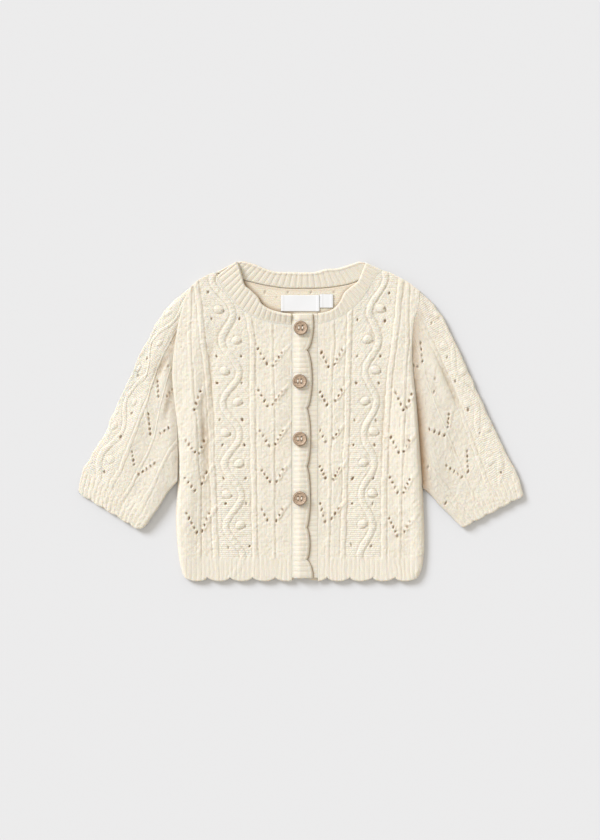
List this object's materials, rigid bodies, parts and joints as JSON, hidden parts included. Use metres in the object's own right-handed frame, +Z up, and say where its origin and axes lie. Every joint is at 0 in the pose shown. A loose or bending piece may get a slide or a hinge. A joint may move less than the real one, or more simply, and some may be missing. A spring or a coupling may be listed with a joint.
{
  "type": "baby cardigan laid flat",
  "caption": "Hip-length baby cardigan in lace and cable knit, buttoned and laid flat, with ribbed scalloped edges and wooden buttons.",
  "frame": {"origin": "on the surface it lies on, under the middle of its bounding box", "axes": "+Z up, away from the surface; +Y from hem to neck; +X towards the wearer's left"},
  "size_m": [0.4468, 0.3208, 0.0121],
  "materials": {
    "knit": "cream wool and cotton knit, matt, slightly fuzzy",
    "knit_inside": "the same knit, purl side",
    "rib": "the same yarn in rib",
    "button": "speckled brown, turned, satin",
    "label": "white woven satin, bare"
  },
  "bodies": {
    "root": {"back": "knit_inside", "front_right": "knit", "front_left": "knit", "sleeve_right": "knit", "sleeve_left": "knit", "band_right": "rib", "band_left": "rib", "neckband_right": "rib", "neckband_left": "rib", "neckband_back": "rib", "button_1": "button", "button_2": "button", "button_3": "button", "button_4": "button", "label_main": "label", "label_size": "label"}
  },
  "joints": []
}
